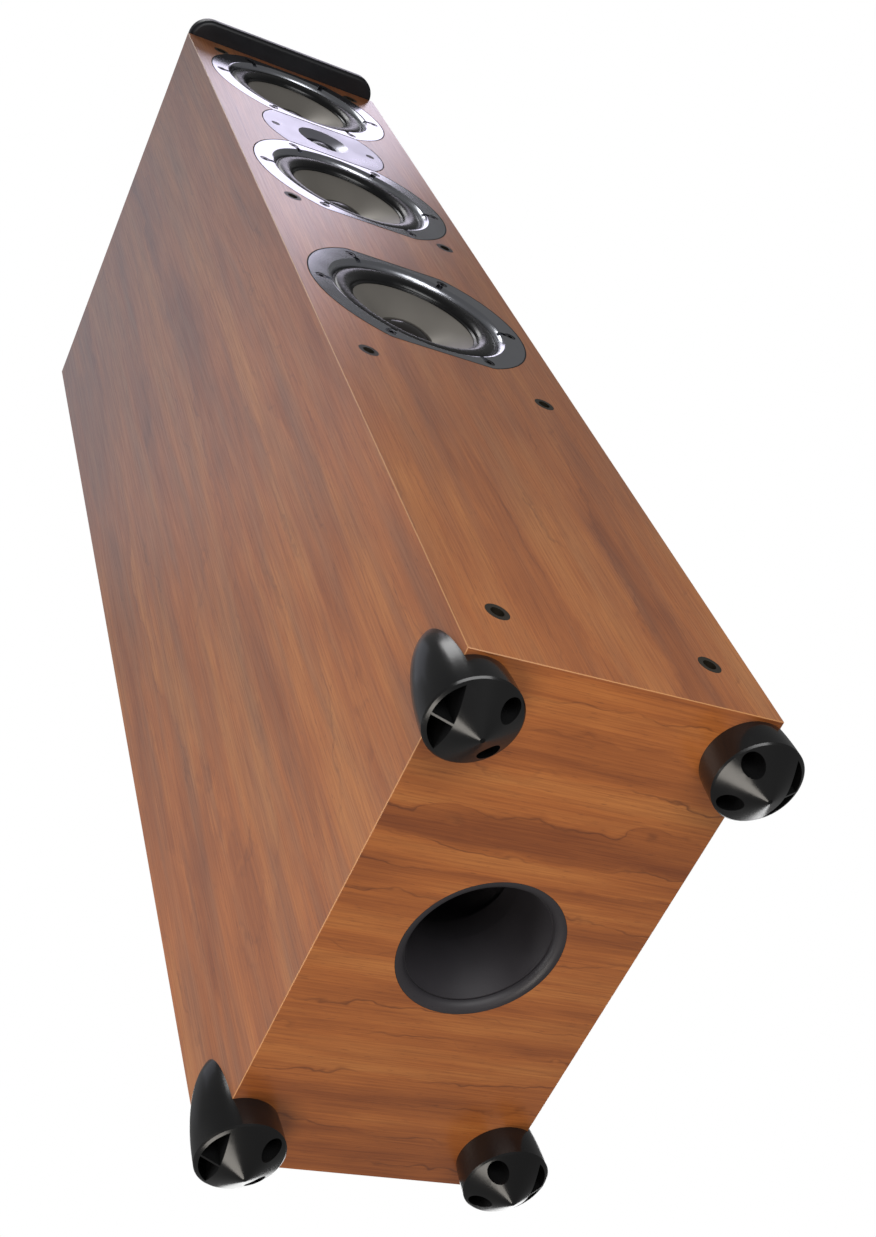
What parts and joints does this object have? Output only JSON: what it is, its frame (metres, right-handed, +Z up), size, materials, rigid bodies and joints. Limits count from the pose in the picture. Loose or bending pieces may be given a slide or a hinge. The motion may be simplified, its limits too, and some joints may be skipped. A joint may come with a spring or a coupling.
{
  "type": "floorstanding speaker",
  "caption": "Tall wood-veneered loudspeaker cabinet on moulded conical feet, with flush round drivers, a dished dome tweeter, a rounded cap and a flared port beneath.",
  "frame": {"origin": "on the floor between the four foot tips, centred on the whole part in X and Y", "axes": "+Z up, the drivers face -Y, +X is to the right of somebody facing the drivers"},
  "size_m": [0.233, 0.4052, 1.101],
  "materials": {
    "walnut_veneer": "satin",
    "fibreboard": "matte",
    "cap_black": "satin",
    "port_plastic": "satin",
    "foot_plastic": "gloss",
    "screw_steel": "satin",
    "socket_plastic": "satin",
    "cast_frame": "satin",
    "roll_rubber": "gloss",
    "spider_cloth": "matte",
    "cone_polymer": "satin",
    "dust_cap_gloss": "gloss",
    "coil_former": "satin",
    "ferrite": "matte",
    "motor_steel": "satin",
    "tag_board": "matte",
    "silver_plate": "satin",
    "membrane": "satin",
    "dome_metal": "satin",
    "cup_plastic": "satin",
    "post_brass": "satin",
    "knob_black": "satin",
    "knob_red": "satin",
    "circuit_board": "satin",
    "copper_coils": "satin",
    "capacitor_film": "satin",
    "resistor_ceramic": "matte",
    "lead_sleeve": "satin",
    "wadding": "matte"
  },
  "bodies": {
    "cabinet": {"back_panel": "walnut_veneer", "binding_posts": "post_brass", "bottom_panel": "walnut_veneer", "crossover_board": "circuit_board", "crossover_capacitors": "capacitor_film", "crossover_inductors": "copper_coils", "crossover_resistors": "resistor_ceramic", "foot_front_left": "foot_plastic", "foot_front_right": "foot_plastic", "foot_rear_left": "foot_plastic", "foot_rear_right": "foot_plastic", "foot_screws": "screw_steel", "front_baffle": "walnut_veneer", "grille_sockets": "socket_plastic", "internal_leads": "lead_sleeve", "left_side_panel": "walnut_veneer", "lower_woofer_basket": "cast_frame", "lower_woofer_spider": "spider_cloth", "lower_woofer_surround": "roll_rubber", "middle_woofer_basket": "cast_frame", "middle_woofer_spider": "spider_cloth", "middle_woofer_surround": "roll_rubber", "port_flare": "port_plastic", "port_tube": "port_plastic", "post_nuts": "post_brass", "right_side_panel": "walnut_veneer", "small_screws": "screw_steel", "terminal_cup": "cup_plastic", "top_cap": "cap_black", "top_panel": "walnut_veneer", "tweeter_faceplate": "silver_plate", "tweeter_magnet": "ferrite", "tweeter_motor_steel": "motor_steel", "tweeter_rear_cup": "cup_plastic", "tweeter_screws": "screw_steel", "tweeter_surround": "membrane", "upper_woofer_basket": "cast_frame", "upper_woofer_spider": "spider_cloth", "upper_woofer_surround": "roll_rubber", "wadding": "wadding", "window_braces": "fibreboard", "woofer_magnets": "ferrite", "woofer_motor_steel": "motor_steel", "woofer_screws": "screw_steel", "woofer_tag_blocks": "tag_board"},
    "upper_cone_group": {"upper_woofer_cone": "cone_polymer", "upper_woofer_dust_cap": "dust_cap_gloss", "upper_woofer_voice_coil": "coil_former"},
    "middle_cone_group": {"middle_woofer_cone": "cone_polymer", "middle_woofer_dust_cap": "dust_cap_gloss", "middle_woofer_voice_coil": "coil_former"},
    "lower_cone_group": {"lower_woofer_cone": "cone_polymer", "lower_woofer_dust_cap": "dust_cap_gloss", "lower_woofer_voice_coil": "coil_former"},
    "dome_group": {"tweeter_dome": "dome_metal", "tweeter_voice_coil": "coil_former"},
    "left_collar": {"left_post_collar": "post_brass"},
    "left_knob": {"left_post_knob": "knob_black"},
    "right_collar": {"right_post_collar": "post_brass"},
    "right_knob": {"right_post_knob": "knob_red"}
  },
  "joints": [
    {"name": "upper_cone_travel", "type": "slide", "parent": "cabinet", "child": "upper_cone_group", "axis": [0, -1, 0], "range_m": [-0.005, 0.005], "stiffness_N_per_m": 1500, "deforming": ["upper_woofer_surround", "upper_woofer_spider"]},
    {"name": "middle_cone_travel", "type": "slide", "parent": "cabinet", "child": "middle_cone_group", "axis": [0, -1, 0], "range_m": [-0.005, 0.005], "stiffness_N_per_m": 1500, "deforming": ["middle_woofer_surround", "middle_woofer_spider"]},
    {"name": "lower_cone_travel", "type": "slide", "parent": "cabinet", "child": "lower_cone_group", "axis": [0, -1, 0], "range_m": [-0.005, 0.005], "stiffness_N_per_m": 1500, "deforming": ["lower_woofer_surround", "lower_woofer_spider"]},
    {"name": "dome_travel", "type": "slide", "parent": "cabinet", "child": "dome_group", "axis": [0, -1, 0], "range_m": [-0.0005, 0.0005], "stiffness_N_per_m": 1500, "deforming": ["tweeter_surround"]},
    {"name": "left_collar_slide", "type": "slide", "parent": "cabinet", "child": "left_collar", "axis": [0, 1, 0], "range_m": [0, 0.004]},
    {"name": "left_knob_turn", "type": "hinge", "parent": "left_collar", "child": "left_knob", "pos_m": [-0.017, 0.17475, 0.157], "axis": [0, -1, 0], "range_deg": [0, 1440]},
    {"name": "right_collar_slide", "type": "slide", "parent": "cabinet", "child": "right_collar", "axis": [0, 1, 0], "range_m": [0, 0.004]},
    {"name": "right_knob_turn", "type": "hinge", "parent": "right_collar", "child": "right_knob", "pos_m": [0.017, 0.17475, 0.157], "axis": [0, -1, 0], "range_deg": [0, 1440]}
  ],
  "couplings": [
    {"joint": "left_knob_turn", "follows": "left_collar_slide", "rad_per_m": 6283.2},
    {"joint": "right_knob_turn", "follows": "right_collar_slide", "rad_per_m": 6283.2}
  ]
}
